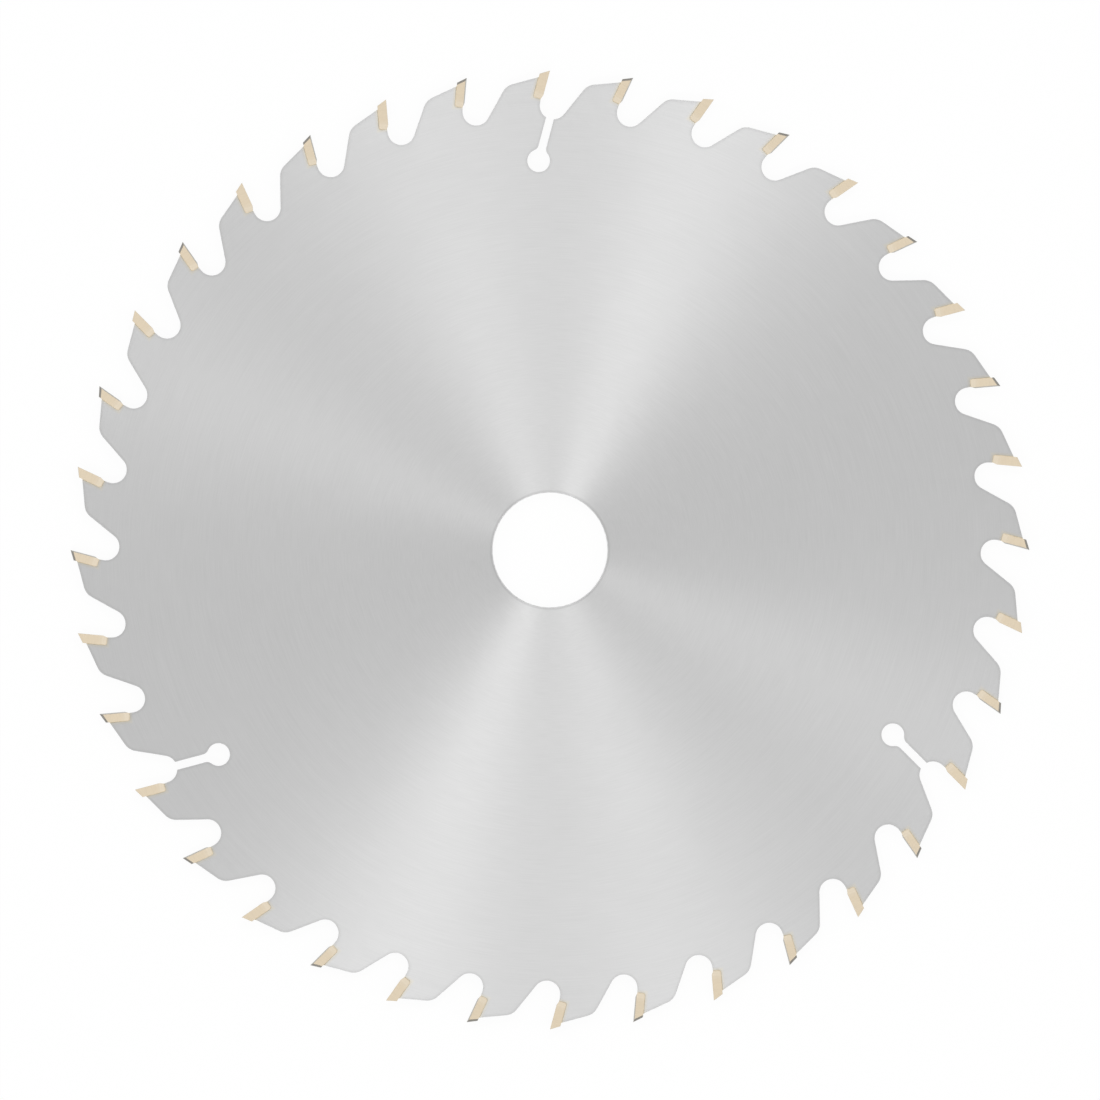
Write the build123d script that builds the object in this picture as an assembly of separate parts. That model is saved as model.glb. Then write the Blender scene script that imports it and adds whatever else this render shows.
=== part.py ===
from build123d import *
import os
from math import cos, hypot, radians, sin, sqrt, tan

# A circular saw blade for cutting wood. A flat steel plate has a seat on each tooth,
# and a hard carbide tip is brazed into every seat. Three expansion slots run in from
# the rim and end in round holes, so that the rim can grow when it gets hot.
# The blade lies flat. Its origin is the middle of the bore, halfway through the plate.
# +Z is the blade's axis, and it turns clockwise when seen from +Z.
# Lengths are millimetres and angles are degrees.

# The blade as a whole
blade_diameter = 250.0
bore_diameter = 30.0
bore_chamfer = 0.2
plate_thickness = 2.2
kerf_width = 3.2
tooth_count = 36

# The carbide tip, measured along its cutting face and square to it
hook_angle = 15.0
tip_length = 7.7
tip_thickness = 2.4
tip_corner_radius = 0.5
toe_chamfer_length = 1.1
tip_overhang = 0.42
braze_gap = 0.1

# How the tip is ground
relief_angle = 16.0
top_bevel_angle = 10.0
face_bevel_angle = 5.0
side_clearance_down = 1.5
side_clearance_back = 3.0
grinding_allowance = 0.3

# The plate behind a tip and the gullet in front of it
back_angle = 15.0
back_step = 0.94
shoulder_radius = 4.0
rise_angle = 61.0
gullet_wall_angle = 10.0
gullet_radius = 3.55
gullet_depth = 12.7

# The expansion slots
slot_count = 3
first_slot_tooth = 9
slot_width = 2.1
slot_angle = 15.0
slot_depth = 14.85
slot_hole_diameter = 5.9
slot_blend_radius = 2.0

# Sizes that follow from those above
blade_radius = blade_diameter / 2
tooth_pitch = 360.0 / tooth_count
half_kerf = kerf_width / 2
seat_wall = tip_thickness + braze_gap
seat_floor = tip_length + braze_gap
seat_corner_radius = tip_corner_radius + braze_gap
seat_top = seat_wall * tan(radians(hook_angle + relief_angle)) + back_step


def going(start, angle, length):
    """The point reached from start by going that length in the direction angle."""
    return (start[0] + length * cos(radians(angle)), start[1] + length * sin(radians(angle)))


def heading(angle):
    """The unit vector that points in the direction angle."""
    return Vector(cos(radians(angle)), sin(radians(angle)))


def crossing(first, first_angle, second, second_angle):
    """The point where two lines cross, each given by a point and its direction."""
    gap_x = second[0] - first[0]
    gap_y = second[1] - first[1]
    across = gap_x * sin(radians(second_angle)) - gap_y * cos(radians(second_angle))
    return going(first, first_angle, across / sin(radians(second_angle - first_angle)))


def turned(point, angle):
    """The point turned by angle round the blade's axis."""
    x = point[0] * cos(radians(angle)) - point[1] * sin(radians(angle))
    y = point[0] * sin(radians(angle)) + point[1] * cos(radians(angle))
    return (x, y)


def below_point(behind, down):
    """A point of the tooth at the top of the blade, from its cutting point.
    It lies so far behind the cutting face, and so far down along it."""
    on_face = going((0.0, blade_radius), 270 - hook_angle, down)
    return going(on_face, 180 - hook_angle, behind)


def at_tooth(number):
    """The turn that takes the tooth at the top of the blade to a numbered place."""
    return Rot(Z=tooth_pitch * number - 90.0)


def gullet_centre():
    """The middle of the round gullet in front of the tooth at the top."""
    lip = below_point(tip_overhang, seat_floor)
    beside_wall = going(lip, -gullet_wall_angle, gullet_radius)
    height = blade_radius - gullet_depth + gullet_radius
    return crossing(beside_wall, 270 - gullet_wall_angle, (0.0, height), 0.0)


def tooth_edges():
    """One tooth of the plate's rim, from the gullet behind it to the one in front.
    The way leads up the slope, over the shoulder, along the back, down into the seat,
    out over its lip, down the gullet's wall and round the gullet."""
    front_gullet = gullet_centre()
    rear_gullet = turned(front_gullet, tooth_pitch)
    slope_start = going(rear_gullet, rise_angle - 90, gullet_radius)
    back_end = below_point(seat_wall, seat_top)
    shoulder = crossing(slope_start, rise_angle, back_end, back_angle)
    shoulder_reach = shoulder_radius * tan(radians(rise_angle - back_angle) / 2)
    slope_end = going(shoulder, rise_angle + 180, shoulder_reach)
    back_start = going(shoulder, back_angle, shoulder_reach)
    wall_end = below_point(seat_wall, seat_floor - seat_corner_radius)
    floor_start = below_point(seat_wall - seat_corner_radius, seat_floor)
    lip = below_point(tip_overhang, seat_floor)
    gullet_start = going(front_gullet, 180 - gullet_wall_angle, gullet_radius)
    gullet_end = turned(slope_start, -tooth_pitch)
    return [
        Line(slope_start, slope_end),
        TangentArc(slope_end, back_start, tangent=heading(rise_angle)),
        Line(back_start, back_end),
        Line(back_end, wall_end),
        TangentArc(wall_end, floor_start, tangent=heading(270 - hook_angle)),
        Line(floor_start, lip),
        Line(lip, gullet_start),
        TangentArc(gullet_start, gullet_end, tangent=heading(270 - gullet_wall_angle)),
    ]


def rim_face():
    """The whole plate without its holes, as a flat face."""
    edges = []
    for number in range(tooth_count):
        # The teeth follow one another clockwise, the way that one tooth is drawn.
        for edge in tooth_edges():
            edges.append(at_tooth(-number) * edge)
    return Face(Wire(edges))


def slot_face():
    """One expansion slot with its round end and the blends between them.
    It is drawn from the middle of the end hole, with the slot running up."""
    hole_radius = slot_hole_diameter / 2
    half_width = slot_width / 2
    blend_side = half_width + slot_blend_radius
    blend_height = sqrt((hole_radius + slot_blend_radius) ** 2 - blend_side**2)
    on_hole = hole_radius / hypot(blend_side, blend_height)
    hole_side = blend_side * on_hole
    hole_height = blend_height * on_hole
    edges = [
        Line((-half_width, slot_depth), (-half_width, blend_height)),
        TangentArc((-half_width, blend_height), (-hole_side, hole_height), tangent=(0, -1)),
        ThreePointArc((-hole_side, hole_height), (0, -hole_radius), (hole_side, hole_height)),
        TangentArc((half_width, blend_height), (hole_side, hole_height), tangent=(0, -1)),
        Line((half_width, blend_height), (half_width, slot_depth)),
        Line((half_width, slot_depth), (-half_width, slot_depth)),
    ]
    return Face(Wire(edges))


def slot_places():
    """Where the slots are: spread evenly, each running in from a tooth's gullet."""
    end_hole = going(gullet_centre(), 270 - slot_angle, slot_depth)
    in_gullet = Pos(*end_hole) * Rot(Z=-slot_angle)
    teeth_apart = tooth_count // slot_count
    return [at_tooth(first_slot_tooth + teeth_apart * i) * in_gullet for i in range(slot_count)]


def blade_plate():
    """The steel plate with its teeth, its bore and its expansion slots."""
    flat = rim_face() - Circle(bore_diameter / 2)
    for place in slot_places():
        flat -= place * slot_face()
    plate = extrude(flat, plate_thickness / 2, both=True)
    bore_edges = plate.edges().filter_by(GeomType.CIRCLE).sort_by(SortBy.RADIUS)[-2:]
    return chamfer(bore_edges, bore_chamfer)


def ground(blank, corner, outwards):
    """The blank with all that lies outside a plane through corner taken off."""
    return split(blank, bisect_by=Plane(origin=corner, z_dir=outwards), keep=Keep.BOTTOM)


def carbide_tip():
    """One tip as ground. Its long cutting point is at the origin's height, on the -Z side.
    It is drawn with its face towards +X and its cutting end up, towards +Y."""
    low = Vector(-tip_thickness, -tip_length, -half_kerf - grinding_allowance)
    high = Vector(grinding_allowance, grinding_allowance, half_kerf + grinding_allowance)
    size = high - low
    blank = Pos(*((low + high) / 2)) * Box(size.X, size.Y, size.Z)
    heel = blank.edges().filter_by(Axis.Z).group_by(Axis.X)[0].sort_by(Axis.Y)[0]
    tip = fillet(heel, tip_corner_radius)
    long_corner = (0.0, 0.0, -half_kerf)
    fall = radians(hook_angle + relief_angle)
    tip = ground(tip, long_corner, (-sin(fall), cos(fall), tan(radians(top_bevel_angle))))
    tip = ground(tip, long_corner, (1.0, 0.0, tan(radians(face_bevel_angle))))
    tip = ground(tip, (-tip_overhang, -tip_length, 0.0), (toe_chamfer_length, -tip_overhang, 0.0))
    inwards_back = tan(radians(side_clearance_back))
    inwards_down = tan(radians(side_clearance_down))
    tip = ground(tip, long_corner, (-inwards_back, -inwards_down, -1.0))
    return ground(tip, (0.0, 0.0, half_kerf), (-inwards_back, -inwards_down, 1.0))


def braze_layer():
    """The braze of one joint: a thin layer behind the tip, round its heel and under it."""
    wall_end = below_point(seat_wall, seat_floor - seat_corner_radius)
    floor_start = below_point(seat_wall - seat_corner_radius, seat_floor)
    heel_end = below_point(tip_thickness, tip_length - tip_corner_radius)
    heel_start = below_point(tip_thickness - tip_corner_radius, tip_length)
    edges = [
        Line(below_point(seat_wall, seat_top), wall_end),
        TangentArc(wall_end, floor_start, tangent=heading(270 - hook_angle)),
        Line(floor_start, below_point(tip_overhang, seat_floor)),
        Line(below_point(tip_overhang, seat_floor), below_point(tip_overhang, tip_length)),
        Line(below_point(tip_overhang, tip_length), heel_start),
        TangentArc(heel_start, heel_end, tangent=heading(180 - hook_angle)),
        Line(heel_end, below_point(tip_thickness, seat_top)),
        Line(below_point(tip_thickness, seat_top), below_point(seat_wall, seat_top)),
    ]
    return extrude(Face(Wire(edges)), plate_thickness / 2, both=True)


def write(node, shape):
    """Writes one node's file and prints how many solids it holds."""
    export_step(shape, os.path.join("parts", node + ".step"))
    print(node, len(shape.solids()), "solid(s)")


os.makedirs("parts", exist_ok=True)
write("blade_plate", blade_plate())

# The long cutting point is on the far side of an even tip and the near side of an odd
# one, seen from +Z, so that neighbours slice the two walls of the cut in turn.
even_tip = carbide_tip()
odd_tip = mirror(even_tip, about=Plane.XY)
in_seat = Pos(0.0, blade_radius) * Rot(Z=-hook_angle)
for number in range(1, tooth_count + 1):
    shape = odd_tip if number % 2 else even_tip
    write(f"tip_{number:02d}", at_tooth(number) * in_seat * shape)

layer = braze_layer()
layers = [at_tooth(number) * layer for number in range(1, tooth_count + 1)]
write("braze_joints", Compound(children=layers))
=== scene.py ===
# %% [markdown]
# # A circular saw blade for wood
#
# This file dresses a saw blade that was drawn in a CAD program. The shape is finished:
# a steel plate, thirty-six carbide tips and the braze that holds them. What is missing is
# everything the eye uses to tell steel from paint, so nearly all of the work here is in
# the materials and in the light.
#
# The blade lies flat, and the picture looks straight down on it. Blender works in metres.
# The blade's axis is the world's Z axis, so a point's distance from the axis is just the
# length of its X and Y.

# %% Load the finished shape
from math import cos, radians, sin, tau

import bpy
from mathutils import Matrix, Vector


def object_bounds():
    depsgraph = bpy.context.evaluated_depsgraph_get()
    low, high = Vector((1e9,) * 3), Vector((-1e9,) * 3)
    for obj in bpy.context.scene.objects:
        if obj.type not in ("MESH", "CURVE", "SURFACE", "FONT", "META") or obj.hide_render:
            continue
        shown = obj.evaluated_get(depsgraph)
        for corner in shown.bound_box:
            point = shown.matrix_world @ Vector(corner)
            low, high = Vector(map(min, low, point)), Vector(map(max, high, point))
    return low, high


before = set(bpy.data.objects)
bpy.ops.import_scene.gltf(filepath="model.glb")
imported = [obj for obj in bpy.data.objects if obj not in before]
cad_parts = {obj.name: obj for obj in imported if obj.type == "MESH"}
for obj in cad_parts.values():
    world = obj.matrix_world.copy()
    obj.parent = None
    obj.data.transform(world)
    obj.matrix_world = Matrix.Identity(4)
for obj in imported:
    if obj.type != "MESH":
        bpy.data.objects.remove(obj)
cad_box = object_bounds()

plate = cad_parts["blade_plate"]
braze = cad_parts["braze_joints"]
tips = [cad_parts[name] for name in sorted(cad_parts) if name.startswith("tip_")]
print("plate, braze and", len(tips), "tips loaded")

# %% [markdown]
# ## The sizes that everything else is worked out from
#
# A material that follows the shape has to know the shape's main sizes. They are read from
# the loaded pieces where that is possible. The hook angle, which is how far each tooth
# leans into the cut, and the bore's radius can't be read from a box, so they are written
# here.

# %% Main sizes
mm = 0.001
blade_radius = cad_box[1].x
floor_height = cad_box[0].z
tooth_count = len(tips)
hook_angle = radians(15.0)
bore_radius = 15.0 * mm
print("radius", round(blade_radius / mm, 3), "mm, teeth", tooth_count)

# %% [markdown]
# ## The camera
#
# The photograph is a square, taken from straight above with a very long lens: the walls
# of the bore can't be seen at all. An orthographic camera gives that view exactly. Its
# scale is the width of the picture in metres. In the photograph the circle through the
# cutting points is 958.8 pixels across, in a picture 1100 pixels wide.

# %% The camera looks straight down
picture_pixels = 1100.0
blade_pixels = 958.8
camera_height = 1.0

camera_data = bpy.data.cameras.new("camera")
camera_data.type = "ORTHO"
camera_data.ortho_scale = 2 * blade_radius * picture_pixels / blade_pixels
camera = bpy.data.objects.new("camera", camera_data)
camera.location = (0.0, 0.0, camera_height)
bpy.context.scene.collection.objects.link(camera)
bpy.context.scene.camera = camera
print("the picture is", round(camera_data.ortho_scale / mm, 1), "mm wide")

# %% [markdown]
# ## Colours as they look on a screen
#
# A colour picked from a screen runs from 0 to 255 and is stored with a curve, so that 128
# looks half as bright as white. Shaders want plain amounts of light, without the curve.
# This helper takes the curve off, and the rest of the file can name colours as they look.


# %% A helper for colours
def screen_colour(red, green, blue):
    """A colour as seen on a screen, from 0 to 255, as the light that a shader needs."""
    light = []
    for value in (red / 255, green / 255, blue / 255):
        dark = value <= 0.04045
        light.append(value / 12.92 if dark else ((value + 0.055) / 1.055) ** 2.4)
    return (*light, 1.0)


print("screen grey 128 is light", round(screen_colour(128, 128, 128)[0], 3))

# %% [markdown]
# ## Building node trees from code
#
# In the shader editor one adds nodes and drags wires between them. The same can be done
# from code, and a few small helpers keep it readable. `fill` writes plain values into a
# node's sockets, and where a value is itself a socket, it pulls a wire instead. `add` makes
# a node and fills it, so one call can both place a node and connect what feeds it. The
# others name the nodes that come up again and again: a sum, a smooth step, and a mix of
# two colours.
#
# A Mix node has sockets for every kind of value in one list. For colours, the share is
# number 0, the two colours are numbers 6 and 7, and the result comes out of number 2.


# %% Helpers for nodes
def fill(tree, node, sockets):
    """Fills a node's sockets, given by name or number, with plain values or with wires."""
    for name, value in sockets.items():
        if isinstance(value, bpy.types.NodeSocket):
            tree.links.new(value, node.inputs[name])
        else:
            node.inputs[name].default_value = value


def add(tree, kind, sockets=None, **settings):
    """A new node of a kind, with its settings made and its sockets filled."""
    node = tree.nodes.new("ShaderNode" + kind)
    for name, value in settings.items():
        setattr(node, name, value)
    fill(tree, node, sockets or {})
    return node


def calc(tree, operation, first, second=0.0, third=0.0):
    """The result of one sum, such as ADD or MULTIPLY. Each term is a number or a wire."""
    sockets = {0: first, 1: second, 2: third}
    return add(tree, "Math", sockets, operation=operation).outputs[0]


def step(tree, value, low, high, to_low=0.0, to_high=1.0):
    """A smooth step: to_low while the value is under low, to_high once it is over high."""
    sockets = {"Value": value, "From Min": low, "From Max": high}
    sockets.update({"To Min": to_low, "To Max": to_high})
    return add(tree, "MapRange", sockets, interpolation_type="SMOOTHSTEP").outputs["Result"]


def mix(tree, share, first, second):
    """A colour between two others. Share 0 gives the first and share 1 the second."""
    sockets = {0: share, 6: first, 7: second}
    return add(tree, "Mix", sockets, data_type="RGBA").outputs[2]


def vector(tree, x, y, z):
    """One wire that carries three numbers."""
    return add(tree, "CombineXYZ", {0: x, 1: y, 2: z}).outputs[0]


def here(tree):
    """The point being shaded, in metres, as three wires for X, Y and Z."""
    point = add(tree, "TexCoord").outputs["Object"]
    return add(tree, "SeparateXYZ", {0: point}).outputs


def round_axis(tree):
    """The same point as its distance from the blade's axis and its direction from there."""
    x, y, _ = here(tree)
    squares = calc(tree, "MULTIPLY_ADD", x, x, calc(tree, "MULTIPLY", y, y))
    reach = calc(tree, "SQRT", squares)
    return reach, calc(tree, "DIVIDE", x, reach), calc(tree, "DIVIDE", y, reach)


print("node helpers ready")

# %% [markdown]
# ## Node groups: effects that several finishes share
#
# A node group is a small machine with named inputs and outputs. It is built once and put
# into every material that needs it, each time with other values. These helpers make an
# empty group with its sockets, and put a finished group to work in a material.


# %% Helpers for node groups
def new_group(name, inputs, outputs):
    """An empty node group. Inputs are names with their usual values, outputs are names."""
    group = bpy.data.node_groups.new(name, "ShaderNodeTree")
    for label, usual in inputs.items():
        kind = "NodeSocketFloat"
        socket = group.interface.new_socket(label, in_out="INPUT", socket_type=kind)
        socket.default_value = usual
    for label in outputs:
        kind = "NodeSocketVector" if label == "Normal" else "NodeSocketFloat"
        group.interface.new_socket(label, in_out="OUTPUT", socket_type=kind)
    way_in = group.nodes.new("NodeGroupInput")
    way_out = group.nodes.new("NodeGroupOutput")
    return group, way_in.outputs, way_out.inputs


def use(tree, group, values=None):
    """Puts a group into a material, with its own values. Gives back the group's outputs."""
    return add(tree, "Group", values, node_tree=group).outputs


print("group helpers ready")

# %% [markdown]
# ### Grinding rings
#
# A saw blade's sides are ground flat on a turning table, so the stone leaves thousands of
# fine arcs round the axis. Drawing arcs as geometry would be hopeless. Instead a noise
# texture is given odd coordinates: the first is the distance from the axis, many times
# magnified, and the other two are the direction from the axis, magnified only a little.
# The noise then changes quickly outwards and slowly round, which is what an arc is. Using
# the direction's X and Y, and not its angle, means that there is no seam where the angle
# jumps from a full turn back to nothing.

# %% Group: grinding rings
grinding_rings, given, result = new_group(
    "grinding rings",
    {"Rings per mm": 3.0, "Breaks": 4.0, "Wide rings per mm": 0.3},
    ["Height", "Tone"],
)
tree = grinding_rings
reach, across, up = round_axis(tree)
reach_mm = calc(tree, "DIVIDE", reach, mm)
breaks_x = calc(tree, "MULTIPLY", across, given["Breaks"])
breaks_y = calc(tree, "MULTIPLY", up, given["Breaks"])
for density, output, detail in (
    ("Rings per mm", "Height", 3.0),
    ("Wide rings per mm", "Tone", 2.0),
):
    outwards = calc(tree, "MULTIPLY", reach_mm, given[density])
    arcs = vector(tree, outwards, breaks_x, breaks_y)
    noise = add(tree, "TexNoise", {"Vector": arcs, "Scale": 1.0, "Detail": detail})
    tree.links.new(noise.outputs["Fac"], result[output])
print("grinding rings made with", len(tree.nodes), "nodes")

# %% [markdown]
# ### Handling marks
#
# Nothing that has been picked up is perfectly even. A soft cloud of noise stands for the
# thin film of oil and the touch of fingers: a few centimetres across on the plate, and a
# few millimetres on the tips and the braze. It is used so faintly that one only misses it
# when it is gone.

# %% Group: handling marks
handling_marks, given, result = new_group("handling marks", {"Size mm": 30.0}, ["Mask"])
tree = handling_marks
point = add(tree, "TexCoord").outputs["Object"]
scale = calc(tree, "DIVIDE", 1 / mm, given["Size mm"])
cloud_noise = {"Vector": point, "Scale": scale, "Detail": 4.0, "Roughness": 0.55}
cloud = add(tree, "TexNoise", cloud_noise)
tree.links.new(step(tree, cloud.outputs["Fac"], 0.35, 0.65), result["Mask"])
print("handling marks made")

# %% [markdown]
# ### Edge line
#
# Where two faces meet, a real edge is never perfectly sharp: it is broken by a stone or a
# wire brush, and it shows as a hairline of another tone. The Bevel node looks a little
# way round each point and gives the normal that a rounded edge would have there. Where
# that differs from the true normal, an edge is near, and the group makes a mask of it.
# The rounded normal comes out as well, so that edges catch the light.

# %% Group: edge line
# On the plate this mask paints a bright hairline, which is a painted highlight.
# The line is full where the two normals are 28 degrees apart. Their likeness is then 0.88.
full_line = 0.12
edge_line, given, result = new_group("edge line", {"Width mm": 0.3}, ["Mask", "Normal"])
tree = edge_line
width = calc(tree, "MULTIPLY", given["Width mm"], mm)
rounded = add(tree, "Bevel", {"Radius": width}, samples=6).outputs["Normal"]
true_normal = add(tree, "NewGeometry").outputs["True Normal"]
alike = add(tree, "VectorMath", {0: rounded, 1: true_normal}, operation="DOT_PRODUCT")
nearness = calc(tree, "SUBTRACT", 1.0, alike.outputs["Value"])
tree.links.new(step(tree, nearness, 0.0, full_line), result["Mask"])
tree.links.new(rounded, result["Normal"])
print("edge line made")

# %% [markdown]
# ### Place on the tooth
#
# All thirty-six tips share one material, but some effects belong to one spot of a tip,
# such as the paler foot of each tip. This group tells each point where it is on its own
# tooth: how far behind the cutting face it lies, and how far down from the cutting point.
# It finds the nearest tooth from the point's angle, measures sideways and outwards from
# that tooth's cutting point, and turns the result by the hook angle.

# %% Group: place on the tooth
tooth_place, given, result = new_group("place on the tooth", {}, ["Behind mm", "Down mm"])
tree = tooth_place
x, y, _ = here(tree)
reach, _, _ = round_axis(tree)
pitch = tau / tooth_count
angle = calc(tree, "ARCTAN2", y, x)
nearest = calc(tree, "ROUND", calc(tree, "DIVIDE", angle, pitch))
off_tooth = calc(tree, "SUBTRACT", angle, calc(tree, "MULTIPLY", nearest, pitch))
trailing = calc(tree, "MULTIPLY", reach, calc(tree, "SINE", off_tooth))
outward = calc(tree, "MULTIPLY", reach, calc(tree, "COSINE", off_tooth))
inward = calc(tree, "SUBTRACT", blade_radius, outward)
hook_cos = cos(hook_angle) / mm
hook_sin = sin(hook_angle) / mm
behind_part = calc(tree, "MULTIPLY", inward, -hook_sin)
behind = calc(tree, "MULTIPLY_ADD", trailing, hook_cos, behind_part)
down_part = calc(tree, "MULTIPLY", inward, hook_cos)
down = calc(tree, "MULTIPLY_ADD", trailing, hook_sin, down_part)
tree.links.new(behind, result["Behind mm"])
tree.links.new(down, result["Down mm"])
print("place on the tooth made")

# %% [markdown]
# ## The steel of the plate
#
# Brushed and ground steel has a look that plain gloss can't give: the grooves spread the
# light sideways, and each lamp becomes a long streak that lies across them. Round grooves
# turn the streaks into a bow tie through the middle of the disc, as on the bottom of a
# pan. The Principled shader calls this anisotropy. It spreads the light most along its
# tangent, so the tangent has to lie across the grooves, and for rings that is straight
# out from the axis.
#
# The cut walls of the teeth are another surface, with a darker skin. A mask that is 1 on
# the ground sides and 0 on the walls chooses between the two.
#
# Several finishes below are drawn with noise. Its values run from 0 to 1 but nearly all
# lie between 0.3 and 0.7, so a step between those two uses the whole range of tones.


# %% A helper that starts a material
def new_material(name):
    """An empty material with its shader. Gives back the material, its tree and shader."""
    material = bpy.data.materials.new(name)
    material.use_nodes = True
    tree = material.node_tree
    shader = next(n for n in tree.nodes if n.type == "BSDF_PRINCIPLED")
    return material, tree, shader


def facing_up(tree, low, high):
    """A mask that is 1 where the surface looks straight up or down, and 0 on walls."""
    normal = add(tree, "NewGeometry").outputs["True Normal"]
    upright = add(tree, "SeparateXYZ", {0: normal}).outputs["Z"]
    return step(tree, calc(tree, "ABSOLUTE", upright), low, high)


print("material helpers ready")

# %% The colours of the plate's sides
noise_low, noise_high = 0.3, 0.7

steel_light = screen_colour(207, 207, 207)
steel_dark = screen_colour(197, 197, 197)
steel_rim = screen_colour(188, 188, 188)
solder_stain = screen_colour(214, 207, 190)
# A pale grey for painted highlights: the glint along the plate's edges and on the chamfer.
painted_highlight_grey = screen_colour(228, 228, 228)

ground_steel, tree, shader = new_material("ground steel")
ring_sizes = {"Rings per mm": 7.0, "Breaks": 9.0, "Wide rings per mm": 0.35}
rings = use(tree, grinding_rings, ring_sizes)
fine = step(tree, rings["Height"], noise_low, noise_high, 0.28, 0.67)
ring_tone = step(tree, rings["Tone"], noise_low, noise_high, 0.0, 0.06)
side_colour = mix(tree, calc(tree, "ADD", fine, ring_tone), steel_dark, steel_light)

# A flap brush has taken off the burr. It has left a duller band, about a millimetre wide,
# and inside that the broken edge itself is painted as a bright hairline: a painted
# highlight where the edge would catch the light.
brushed_strength = 0.8
painted_glint_strength = 0.9
brushed = use(tree, edge_line, {"Width mm": 1.6})["Mask"]
brushed = calc(tree, "MULTIPLY", brushed, brushed_strength)
side_colour = mix(tree, brushed, side_colour, steel_rim)
edges = use(tree, edge_line, {"Width mm": 0.2})
# The bright hairline along the edges is a painted highlight.
painted_glint_line = calc(tree, "MULTIPLY", edges["Mask"], painted_glint_strength)
side_colour = mix(tree, painted_glint_line, side_colour, painted_highlight_grey)

# The countersink has left a narrow dull ring beside the bore.
ring_strength = 0.8
ring_start = bore_radius + 0.35 * mm
ring_end = bore_radius + 0.8 * mm
reach, across, up = round_axis(tree)
beside_bore = step(tree, reach, ring_start, ring_end, ring_strength, 0.0)
side_colour = mix(tree, beside_bore, side_colour, steel_rim)

# The solder has crept a little way over the steel behind each tip and below it. The seat's
# wall is 2.5 mm behind the cutting face, and its floor 7.8 mm below the cutting point.
seat_wall_mm = 2.5
seat_floor_mm = 7.8
stain_strength = 0.5
place = use(tree, tooth_place)
past_wall = calc(tree, "SUBTRACT", place["Behind mm"], seat_wall_mm)
past_floor = calc(tree, "SUBTRACT", place["Down mm"], seat_floor_mm)
past_face = calc(tree, "MULTIPLY", place["Behind mm"], -1.0)
from_seat = calc(tree, "MAXIMUM", calc(tree, "MAXIMUM", past_wall, past_floor), past_face)
crept = step(tree, from_seat, 0.1, 0.9, stain_strength, 0.0)
side_colour = mix(tree, crept, side_colour, solder_stain)
print("sides of the plate coloured")

# %% [markdown]
# ### The walls of the plate
#
# Two tools have left their marks on the walls. The laser went round the teeth, and its
# stripes run from one side of the plate to the other. The bore was reamed to size
# afterwards, and a reamer leaves brighter metal with fine lines round the hole. Both
# patterns are the same noise, stretched one way or the other.


# %% The colours of the plate's walls
def stretched_noise(tree, flat_per_mm, upright_per_mm):
    """Noise with so many spots per millimetre along the walls, and so many up and down."""
    x, y, z = here(tree)
    along = [calc(tree, "MULTIPLY", part, flat_per_mm / mm) for part in (x, y)]
    place = vector(tree, *along, calc(tree, "MULTIPLY", z, upright_per_mm / mm))
    return add(tree, "TexNoise", {"Vector": place, "Scale": 1.0, "Detail": 2.0}).outputs["Fac"]


laser_skin = screen_colour(142, 139, 135)
laser_stripe = screen_colour(170, 167, 163)
reamed_dark = screen_colour(172, 172, 172)
reamed_light = screen_colour(196, 196, 196)

laser = stretched_noise(tree, flat_per_mm=5.0, upright_per_mm=0.3)
reamer = stretched_noise(tree, flat_per_mm=0.1, upright_per_mm=9.0)
stripes = step(tree, laser, noise_low, noise_high)
laser_colour = mix(tree, stripes, laser_skin, laser_stripe)
lines = step(tree, reamer, noise_low, noise_high)
reamed_colour = mix(tree, lines, reamed_dark, reamed_light)

# Only the bore's wall lies so near to the axis.
reamed = step(tree, reach, bore_radius + 0.3 * mm, bore_radius + 0.5 * mm, 1.0, 0.0)
wall_colour = mix(tree, reamed, laser_colour, reamed_colour)
print("walls of the plate coloured")

# %% [markdown]
# ### The grooves
#
# The tangent tells the shader which way lies across the grooves. On the sides that is
# straight out from the axis. On the walls it is along the wall, across the laser's
# stripes, and it is found as the direction square to both the wall's normal and the
# blade's axis. The noise that colours the rings and the stripes also raises them: by less
# than a thousandth of a millimetre on the sides, and by a few thousandths on the walls.
#
# The bore's chamfer is neither flat nor upright. A second mask picks out the slopes
# between the two, and they are painted bright: a painted highlight where the slope catches the
# light.

# %% The plate's material
# The normal's upright share is 1 on a side, 0 on a wall and 0.71 on the chamfer's slope.
flat = facing_up(tree, 0.62, 0.92)
chamfer = calc(tree, "SUBTRACT", facing_up(tree, 0.4, 0.6), facing_up(tree, 0.8, 0.95))
# The chamfer's slopes get the bright grey, which is a painted highlight.
plate_colour = mix(tree, chamfer, mix(tree, flat, wall_colour, side_colour), painted_highlight_grey)
marks = use(tree, handling_marks, {"Size mm": 35.0})["Mask"]

outwards = vector(tree, across, up, 0.0)
on_sides = add(tree, "VectorMath", {0: outwards, "Scale": flat}, operation="SCALE").outputs[0]
true_normal = add(tree, "NewGeometry").outputs["True Normal"]
square = {0: true_normal, 1: (0.0, 0.0, 1.0)}
on_walls = add(tree, "VectorMath", square, operation="CROSS_PRODUCT").outputs[0]
tangent = add(tree, "VectorMath", {0: on_sides, 1: on_walls}, operation="ADD").outputs[0]

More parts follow.
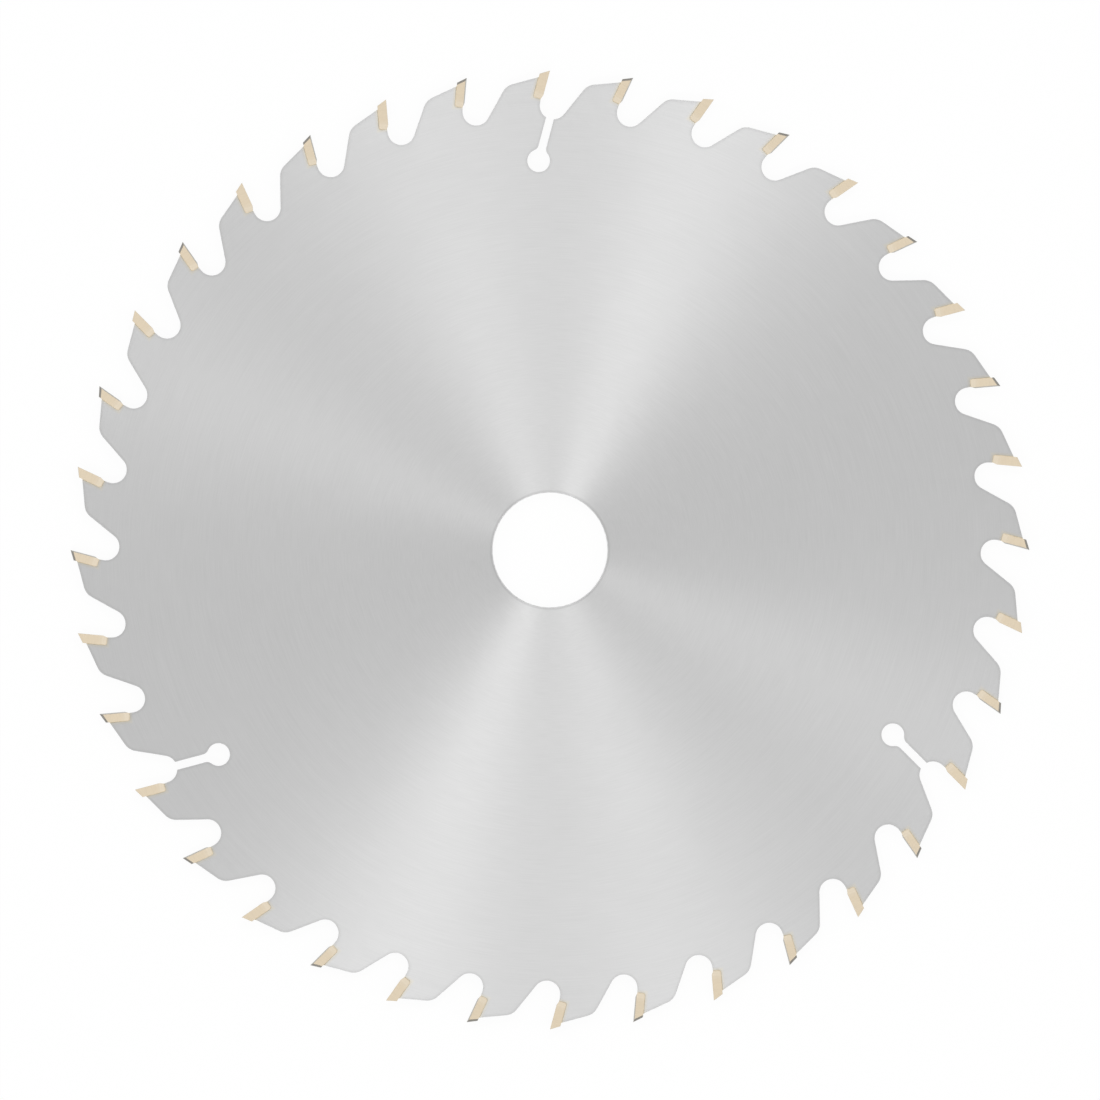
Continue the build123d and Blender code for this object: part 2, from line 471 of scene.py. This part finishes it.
ring_depth = 0.0003 * mm
stripe_depth = 0.006 * mm
side_height = calc(tree, "MULTIPLY", rings["Height"], flat)
wall_height = calc(tree, "MULTIPLY", laser, calc(tree, "SUBTRACT", 1.0, flat))
height = calc(tree, "MULTIPLY_ADD", wall_height, stripe_depth / ring_depth, side_height)
bump = {"Strength": 1.0, "Distance": ring_depth, "Height": height, "Normal": edges["Normal"]}
fill(
    tree,
    shader,
    {
        "Base Color": plate_colour,
        "Metallic": 1.0,
        "Roughness": step(tree, marks, 0.0, 1.0, 0.484, 0.494),
        "Anisotropic": 0.858,
        "Tangent": tangent,
        "Normal": add(tree, "Bump", bump).outputs["Normal"],
    },
)
plate.data.materials.clear()
plate.data.materials.append(ground_steel)
print("ground steel made with", len(tree.nodes), "nodes")

# %% [markdown]
# ## The carbide of the tips
#
# Tungsten carbide is a grey, very hard, sintered metal. On this blade the sides of the
# tips have kept a pale gold tint, while the faces that were ground last, the cutting face
# and the bevelled top, are bare grey. The top is painted a much darker grey than the
# cutting face, and that darker grey is painted shade. Which surface a point lies on can be
# told from its normal: the sides look up or down, the top looks away from the axis, and
# the cutting face looks along the blade's turn.

# %% The colours of the tips
gold_side = screen_colour(213, 199, 176)
gold_foot = screen_colour(217, 205, 185)
gold_line = screen_colour(188, 176, 156)
foot_start_mm = 5.2
foot_end_mm = 6.8
carbide_face = screen_colour(181, 178, 170)
# The top's darker grey is painted shade on the same carbide as the cutting face.
carbide_top_painted_shade = screen_colour(117, 111, 100)
carbide_line = screen_colour(140, 136, 128)

carbide, tree, shader = new_material("tungsten carbide")
place = use(tree, tooth_place)
# The tips are paler towards their foot.
foot = step(tree, place["Down mm"], foot_start_mm, foot_end_mm)
gold = mix(tree, foot, gold_side, gold_foot)

_, across, up = round_axis(tree)
away = vector(tree, across, up, 0.0)
true_normal = add(tree, "NewGeometry").outputs["True Normal"]
outlook = add(tree, "VectorMath", {0: away, 1: true_normal}, operation="DOT_PRODUCT")
top = step(tree, outlook.outputs["Value"], 0.5, 0.8)
# The top, found by its normal, gets the darker grey: painted shade.
face_grey_and_shaded_top = mix(tree, top, carbide_face, carbide_top_painted_shade)
print("tips coloured")

# %% [markdown]
# ### Diamond scratches
#
# Carbide can only be ground with diamond, and the wheel leaves straight fine scratches
# across the tip. They are one more stretched noise, drawn on the tooth's own two
# directions, so that they run the same way on all thirty-six tips. Between them the
# sintered grains make a very fine speckle.

# %% The tips' material
along_per_mm = 0.6
across_per_mm = 11.0
grains_per_mm = 25.0

_, _, z = here(tree)
scratch_place = vector(
    tree,
    calc(tree, "MULTIPLY", place["Behind mm"], along_per_mm),
    calc(tree, "MULTIPLY", place["Down mm"], across_per_mm),
    calc(tree, "DIVIDE", z, mm),
)
scratch_noise = {"Vector": scratch_place, "Scale": 1.0, "Detail": 3.0}
scratches = add(tree, "TexNoise", scratch_noise).outputs["Fac"]
scratched = step(tree, scratches, 0.35, 0.7, 0.0, 0.28)
point = add(tree, "TexCoord").outputs["Object"]
grain_noise = {"Vector": point, "Scale": grains_per_mm / mm, "Detail": 1.0}
grain = add(tree, "TexNoise", grain_noise).outputs["Fac"]
marks = use(tree, handling_marks, {"Size mm": 2.5})["Mask"]
edges = use(tree, edge_line, {"Width mm": 0.1})

marks_strength = 0.08
lines = calc(tree, "MAXIMUM", scratched, edges["Mask"])
dull = calc(tree, "MULTIPLY_ADD", marks, marks_strength, lines)
sides = facing_up(tree, 0.75, 0.95)
colour = mix(tree, sides, face_grey_and_shaded_top, gold)
line = mix(tree, sides, carbide_line, gold_line)

scratch_depth = 0.0015 * mm
grain_share = 0.2
height = calc(tree, "MULTIPLY_ADD", grain, grain_share, scratches)
bump = {"Strength": 1.0, "Distance": scratch_depth, "Height": height, "Normal": edges["Normal"]}
fill(
    tree,
    shader,
    {
        "Base Color": mix(tree, dull, colour, line),
        "Metallic": 0.9,
        "Roughness": step(tree, marks, 0.0, 1.0, 0.42, 0.5),
        "Normal": add(tree, "Bump", bump).outputs["Normal"],
    },
)
for tip in tips:
    tip.data.materials.clear()
    tip.data.materials.append(carbide)
print("tungsten carbide put on", len(tips), "tips")

# %% [markdown]
# ## The braze
#
# The tips are held by silver solder, which is pale gold and has frozen with a slightly
# lumpy skin. Only its thin edge shows, along the back and the foot of each tip, so the
# material needs a colour, a soft gloss and a little unevenness, and no more.

# %% The braze's material
solder_light = screen_colour(236, 220, 188)
solder_dark = screen_colour(214, 196, 162)

silver_solder, tree, shader = new_material("silver solder")
marks = use(tree, handling_marks, {"Size mm": 1.5})["Mask"]
point = add(tree, "TexCoord").outputs["Object"]
lumps = add(tree, "TexNoise", {"Vector": point, "Scale": 2 / mm, "Detail": 2.0}).outputs["Fac"]
bump = {"Strength": 0.3, "Distance": 0.03 * mm, "Height": lumps}
fill(
    tree,
    shader,
    {
        "Base Color": mix(tree, marks, solder_dark, solder_light),
        "Metallic": 1.0,
        "Roughness": step(tree, marks, 0.0, 1.0, 0.34, 0.46),
        "Normal": add(tree, "Bump", bump).outputs["Normal"],
    },
)
braze.data.materials.clear()
braze.data.materials.append(silver_solder)
print("silver solder made")

# %% [markdown]
# ## The floor
#
# The photograph has a pure white ground. A lamp strong enough to burn a real floor out to
# white would spoil the blade's greys. So the floor has two parts. Most of it is a plain
# white light that only the camera and reflections can see, which is asked of the Light
# Path node, and the rest is ordinary white paint, which still takes the blade's shadow.

# %% A pale floor
floor_size = 8.0
floor_glow_share = 0.94
floor_white = (0.95, 0.95, 0.95, 1.0)


def seen_directly(tree):
    """A mask that is 1 for the camera's rays and for rays from gloss or through glass."""
    path = add(tree, "LightPath").outputs
    seen = calc(tree, "MAXIMUM", path["Is Camera Ray"], path["Is Glossy Ray"])
    return calc(tree, "MAXIMUM", seen, path["Is Transmission Ray"])


half = floor_size / 2
corners = [(-half, -half), (half, -half), (half, half), (-half, half)]
floor_mesh = bpy.data.meshes.new("floor")
floor_mesh.from_pydata([(x, y, floor_height) for x, y in corners], [], [(0, 1, 2, 3)])
floor = bpy.data.objects.new("floor", floor_mesh)
bpy.context.scene.collection.objects.link(floor)

floor_paint, tree, shader = new_material("floor paint")
paint = {"Base Color": floor_white, "Roughness": 0.9, "Specular IOR Level": 0.0}
fill(tree, shader, paint)
glow = add(tree, "Emission", {"Color": (1.0, 1.0, 1.0, 1.0), "Strength": 1.0})
share = calc(tree, "MULTIPLY", seen_directly(tree), floor_glow_share)
both = add(tree, "MixShader", {0: share, 1: shader.outputs[0], 2: glow.outputs[0]})
leave = next(n for n in tree.nodes if n.type == "OUTPUT_MATERIAL")
tree.links.new(both.outputs[0], leave.inputs["Surface"])
floor_mesh.materials.append(floor_paint)
print("floor at", round(floor_height / mm, 2), "mm")

# %% [markdown]
# ## Light
#
# The base of the light is an even white sky. The camera and the reflections in metal see
# it at full white. What it gives to paint is about a quarter less, because there the
# lamps make up the rest.
#
# A metal shows what it reflects, so the sky alone gives the plate one flat grey, and
# small lamps add the streaks. A lamp's streak lies in line with the lamp, and again on
# the far side of the bore, so its compass direction is read straight off the photograph.
# How high a lamp stands sets how wide its streak is: a high lamp makes a wide one and a
# low lamp a narrow one.
#
# One lamp would do for each streak. But seen from low down, on the side away from it, it
# would glare on the steel until the grey burns out. So each streak has a pair of lamps on
# opposite sides that share its power: the streak stays the same and the glare is halved.
# The tips' sides are ground a few degrees off level, so they do show on which side the
# light is. Those at the upper left are a little paler in the photograph, and so the pair
# of the brightest streak doesn't share its power equally.

# %% The sky
sky_on_paint = 0.76
sky_seen = 1.0

world = bpy.data.worlds.new("sky")
bpy.context.scene.world = world
world.use_nodes = True
tree = world.node_tree
sky = next(n for n in tree.nodes if n.type == "BACKGROUND")
sky.inputs["Color"].default_value = (1.0, 1.0, 1.0, 1.0)
extra = calc(tree, "MULTIPLY", seen_directly(tree), sky_seen - sky_on_paint)
tree.links.new(calc(tree, "ADD", extra, sky_on_paint), sky.inputs["Strength"])
print("sky made")


# %% The lamps
lamp_distance = 4.0


def place_lamp(name, azimuth, tilt, power, size):
    """A round, soft lamp that looks at the blade.
    Azimuth is its compass direction from +X, and tilt its angle from straight overhead."""
    data = bpy.data.lights.new(name, "AREA")
    data.shape = "DISK"
    data.size = size
    data.energy = power
    lamp = bpy.data.objects.new(name, data)
    sideways = lamp_distance * sin(radians(tilt))
    lamp.location = (
        sideways * cos(radians(azimuth)),
        sideways * sin(radians(azimuth)),
        lamp_distance * cos(radians(tilt)),
    )
    lamp.rotation_mode = "QUATERNION"
    lamp.rotation_quaternion = lamp.location.to_track_quat("Z", "Y")
    bpy.context.scene.collection.objects.link(lamp)


def make_streak(name, azimuth, tilt, power, size, share=0.5):
    """A streak from two lamps on opposite sides. The first has that share of the power."""
    place_lamp(name + " lamp", azimuth, tilt, power * share, size)
    place_lamp(name + " lamp opposite", azimuth + 180, tilt, power * (1 - share), size)


make_streak("bright streak", azimuth=248.4, tilt=38.5, power=23.0, size=0.4, share=0.6)
make_streak("wide streak", azimuth=107.7, tilt=31.3, power=15.7, size=0.4)
make_streak("faint streak", azimuth=335.3, tilt=59.0, power=18.5, size=1.0)
print("three pairs of lamps made")

# %% [markdown]
# ## The last setting
#
# The picture must not change the object's size. The box of the CAD shape was kept at the
# start. Last, the view transform is set to Standard.

bpy.context.scene.view_settings.view_transform = "Standard"
